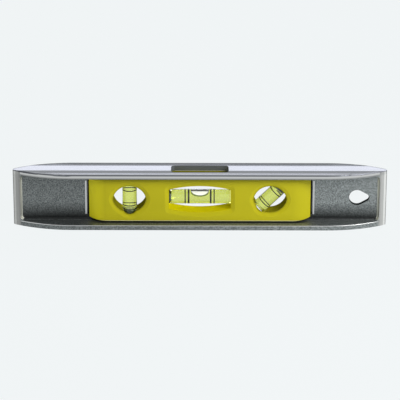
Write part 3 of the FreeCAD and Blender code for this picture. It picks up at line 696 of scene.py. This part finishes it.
# The bubbles.
bubbleLook = {
    "levelHalfLength": 5.6 * mm,
    "levelDepth": 2.3 * mm,
    "press": 0.05 * mm,          # the level bubble lies against the tube and reaches this far into it
    "alongSteps": 40,
    "halfTurnSteps": 12,
    "skinColours": ("#eceae6", "#f6f5ee"),
    "skinRoughness": 0.15,
    "meniscusGreen": "#5c6a24",  # painted shade: the dark line drawn along the level bubble's lower edge
    "meniscusLine": (0.9 * mm, 0.65 * mm),
    "crestGrey": "#4a4a50",      # and the painted shade line drawn along its top
    "crestLine": (-0.9 * mm, -0.6 * mm),
    "sideLength": 4.4 * mm,
    "film": 0.08 * mm,           # liquid left between a side bubble and the bore
    "endGap": 0.1 * mm,          # and between it and the bore's end
    "meniscus": 23.5 * mm,       # height of the diagonal bubble's level underside
    "sides": 64,
    "airColours": ("#fbfdf6", "#ffffff"),
    "airIor": 0.94,              # air in this liquid really has 0.735: nearer one, it gives a fainter rim
    "filmSize": 4.0 * mm,
    "grain": 0.11 * mm,          # size of the faces that round the bubbles off
    "smoothing": 0.5,
    "smoothSteps": 12,
}


def filmColour(tree, look, key):
    # the faint drift of two colours over a bubble
    place = addNode(tree, "ShaderNodeTexCoord").outputs["Object"]
    film = addNode(tree, "ShaderNodeTexNoise", {"Vector": place, "Scale": 1 / look["filmSize"]}).outputs[0]
    first, second = (toLinear(hexColour) for hexColour in look[key])
    return addNode(tree, "ShaderNodeMix", {0: film, 6: first, 7: second}, data_type="RGBA").outputs[2]


def airInLiquid(look):
    # air inside the liquid: a clear, faint lens
    material, tree, shader = newMaterial("airInLiquid", {"Transmission Weight": 1.0, "IOR": look["airIor"],
                                                         "Roughness": 0.0})
    tree.links.new(filmColour(tree, look, "airColours"), shader.inputs["Base Color"])
    return material


def levelBubbleSkin(look, radius):
    # the level bubble as it shows through the tube: smooth and near white, painted on an opaque skin in place of
    # the light seen through the air. The dark lines along its lower edge and its top are painted shade drawn on it
    material, tree, shader = newMaterial("levelBubbleSkin", {"IOR": 1.36, "Roughness": look["skinRoughness"]})
    place = addNode(tree, "ShaderNodeTexCoord").outputs["Object"]
    at = addNode(tree, "ShaderNodeSeparateXYZ", {0: place}).outputs
    # height above the bubble's lower edge, which curves down to its middle
    bulge = at["X"]
    for operation, first, second in (("DIVIDE", None, look["levelHalfLength"]), ("POWER", None, 2.0),
                                     ("SUBTRACT", 1.0, None), ("MAXIMUM", None, 0.0), ("SQRT", None, 0.0)):
        values = {0: bulge if first is None else first, 1: bulge if second is None else second}
        bulge = addNode(tree, "ShaderNodeMath", values, operation=operation).outputs[0]
    height = addNode(tree, "ShaderNodeMath", {0: at["Z"], 1: vialHeight + radius}, operation="SUBTRACT").outputs[0]
    aboveEdge = addNode(tree, "ShaderNodeMath", {0: bulge, 1: look["levelDepth"], 2: height},
                        operation="MULTIPLY_ADD").outputs[0]
    colour = filmColour(tree, look, "skinColours")
    # painted shade: the dark lines along the lower edge and the top
    for value, levels, line in ((aboveEdge, "meniscusLine", "meniscusGreen"), (at["Y"], "crestLine", "crestGrey")):
        colour = addNode(tree, "ShaderNodeMix", {0: zone(tree, (value, *look[levels])), 6: colour,
                                                 7: toLinear(look[line])}, data_type="RGBA").outputs[2]
    tree.links.new(colour, shader.inputs["Base Color"])
    return material


def bubbleFromPoints(name, points, look, place):
    # the smallest convex skin round the points, with its edges rounded off
    shape = bmesh.new()
    for point in points:
        shape.verts.new(point)
    hull = bmesh.ops.convex_hull(shape, input=shape.verts)
    loose = [g for g in hull["geom_interior"] + hull["geom_unused"] if isinstance(g, bmesh.types.BMVert)]
    bmesh.ops.delete(shape, geom=list(set(loose)), context="VERTS")
    bmesh.ops.recalc_face_normals(shape, faces=shape.faces)
    shape.transform(place)
    mesh = bpy.data.meshes.new(name)
    shape.to_mesh(mesh)
    shape.free()
    obj = meshObject(name, mesh)
    remesh = obj.modifiers.new("remesh", "REMESH")
    remesh.mode = "VOXEL"
    remesh.voxel_size = look["grain"]
    smooth = obj.modifiers.new("smooth", "SMOOTH")
    smooth.factor = look["smoothing"]
    smooth.iterations = look["smoothSteps"]
    return plainMesh(obj, name)


def levelBubblePoints(look, radius):
    points = []
    for i in range(look["alongSteps"] + 1):
        share = math.sin(math.pi * (i / look["alongSteps"] - 0.5))
        floor = radius - look["levelDepth"] * math.sqrt(max(0.0, 1 - share * share))
        spread = math.acos(max(-1.0, min(1.0, floor / radius)))
        for j in range(2 * look["halfTurnSteps"] + 1):
            angle = spread * (j / look["halfTurnSteps"] - 1)
            points.append((look["levelHalfLength"] * share, radius * math.sin(angle), radius * math.cos(angle)))
    return points


def columnPoints(low, high, radius, sides):
    circle = [2 * math.pi * i / sides for i in range(sides)]
    return [(along, radius * math.sin(a), radius * math.cos(a)) for a in circle for along in (low, high)]


def clippedPoints(top, radius, tilt, floor, sides):
    # the part above a level surface of a column that ends at top; its upper end lies towards -X
    points = []
    for i in range(sides):
        angle = 2 * math.pi * i / sides
        y, r = radius * math.sin(angle), radius * math.cos(angle)
        start = (floor - r * math.cos(tilt)) / math.sin(tilt)
        if start > top:
            points += [(start, y, r), (top, y, r)]
    return points


bubbleRadius = vialLook["boreRadius"] - bubbleLook["film"]
levelRadius = vialLook["boreRadius"] + bubbleLook["press"]
air, levelAir = airInLiquid(bubbleLook), levelBubbleSkin(bubbleLook, levelRadius)
plumbVial, diagonalVial = vials["plumb"], vials["diagonal"]
plumbTop = (plumbVial["half"] - plumbVial["closedEnd"]) * mm - bubbleLook["endGap"]
diagonalTop = (diagonalVial["plug"] - diagonalVial["half"]) * mm + vialLook["spigot"] + bubbleLook["endGap"]
bubblePoints = {
    "level": levelBubblePoints(bubbleLook, levelRadius),
    "plumb": columnPoints(plumbTop - bubbleLook["sideLength"], plumbTop, bubbleRadius, bubbleLook["sides"]),
    "diagonal": clippedPoints(diagonalTop, bubbleRadius, math.radians(diagonalVial["tilt"]),
                              bubbleLook["meniscus"] - vialHeight, bubbleLook["sides"]),
}
for name, points in bubblePoints.items():
    bubble = bubbleFromPoints(name + "_air_bubble", points, bubbleLook, vialPlace(vials[name]))
    skin = levelAir if name == "level" else air
    finishPiece(bubble, name + "_bubble_body", "air_bubble", skin, name + "_bubble")
    bubble.visible_shadow = False
print("bubbles finished")


# The floor, the light and the camera.
studio = {
    "pale": "#f1f5f6",
    "floorSize": 8.0,
    "floorRoughness": 0.9,
    "floorGlow": 0.97,           # how much of what is seen of the floor is its plain colour
    "ambient": 0.25,
    "lamps": {
        "rearSoftbox": {"at": (0.0, 1.5, 1.1), "size": (2.4, 0.65), "power": 13.0},
        "frontSoftbox": {"at": (0.45, -0.42, 0.42), "size": (0.3, 0.3), "power": 4.5},
    },
    "target": (0.12 * mm, -0.74 * mm, 16.05 * mm),
    "lift": 21.7,                # degrees by which the camera looks down
    "roll": 0.11,                # degrees by which it is turned about its own view
    "distance": 1.5,
    "viewWidth": 0.2453,         # what the camera takes in at that distance
}


def seenRay(tree):
    # 1 for rays that show a surface directly, in a mirror or through glass
    rays = addNode(tree, "ShaderNodeLightPath").outputs
    first = addNode(tree, "ShaderNodeMath", {0: rays["Is Camera Ray"], 1: rays["Is Glossy Ray"]},
                    operation="MAXIMUM")
    return addNode(tree, "ShaderNodeMath", {0: first.outputs[0], 1: rays["Is Transmission Ray"]},
                   operation="MAXIMUM").outputs[0]


def paleFloor(settings):
    # smooth matt studio board
    size = settings["floorSize"] / 2
    mesh = bpy.data.meshes.new("studioFloor")
    mesh.from_pydata([(-size, -size, 0), (size, -size, 0), (size, size, 0), (-size, size, 0)], [], [(0, 1, 2, 3)])
    floor = meshObject("studioFloor", mesh)
    material, tree, shader = newMaterial("paleStudioBoard", {"Base Color": toLinear(settings["pale"]),
                                                             "Roughness": settings["floorRoughness"]})
    plain = addNode(tree, "ShaderNodeEmission", {"Color": toLinear(settings["pale"])})
    share = addNode(tree, "ShaderNodeMath", {0: seenRay(tree), 1: settings["floorGlow"]}, operation="MULTIPLY")
    mixed = addNode(tree, "ShaderNodeMixShader", {0: share.outputs[0], 1: shader.outputs[0], 2: plain.outputs[0]})
    tree.links.new(mixed.outputs[0], tree.nodes["Material Output"].inputs["Surface"])
    setMaterial(floor, material)


def studioWorld(settings):
    world = bpy.data.worlds.new("studioWorld")
    world.use_nodes = True
    tree = world.node_tree
    tree.nodes.clear()
    ambient = addNode(tree, "ShaderNodeBackground", {"Color": (1, 1, 1, 1), "Strength": settings["ambient"]})
    plain = addNode(tree, "ShaderNodeBackground", {"Color": toLinear(settings["pale"]), "Strength": 1.0})
    mixed = addNode(tree, "ShaderNodeMixShader", {0: seenRay(tree), 1: ambient.outputs[0], 2: plain.outputs[0]})
    addNode(tree, "ShaderNodeOutputWorld", {0: mixed.outputs[0]})
    bpy.context.scene.world = world


def addLamps(settings):
    for name, lamp in settings["lamps"].items():
        light = bpy.data.lights.new(name, "AREA")
        light.shape = "RECTANGLE"
        light.size, light.size_y = lamp["size"]
        light.energy = lamp["power"]
        obj = meshObject(name, light)
        obj.location = lamp["at"]
        obj.rotation_euler = (-Vector(lamp["at"])).to_track_quat("-Z", "Y").to_euler()


def addCamera(settings):
    camera = bpy.data.cameras.new("studioCamera")
    camera.lens = camera.sensor_width * settings["distance"] / settings["viewWidth"]
    obj = meshObject("studioCamera", camera)
    lift = math.radians(settings["lift"])
    back = Vector((0, -math.cos(lift), math.sin(lift)))
    obj.location = Vector(settings["target"]) + back * settings["distance"]
    straight = (-back).to_track_quat("-Z", "Y").to_matrix()
    obj.rotation_euler = (straight @ Matrix.Rotation(math.radians(settings["roll"]), 3, "Z")).to_euler()
    bpy.context.scene.camera = obj


paleFloor(studio)
studioWorld(studio)
addLamps(studio)
addCamera(studio)
bpy.context.scene.view_settings.view_transform = "Standard"
print("floor, light and camera finished")
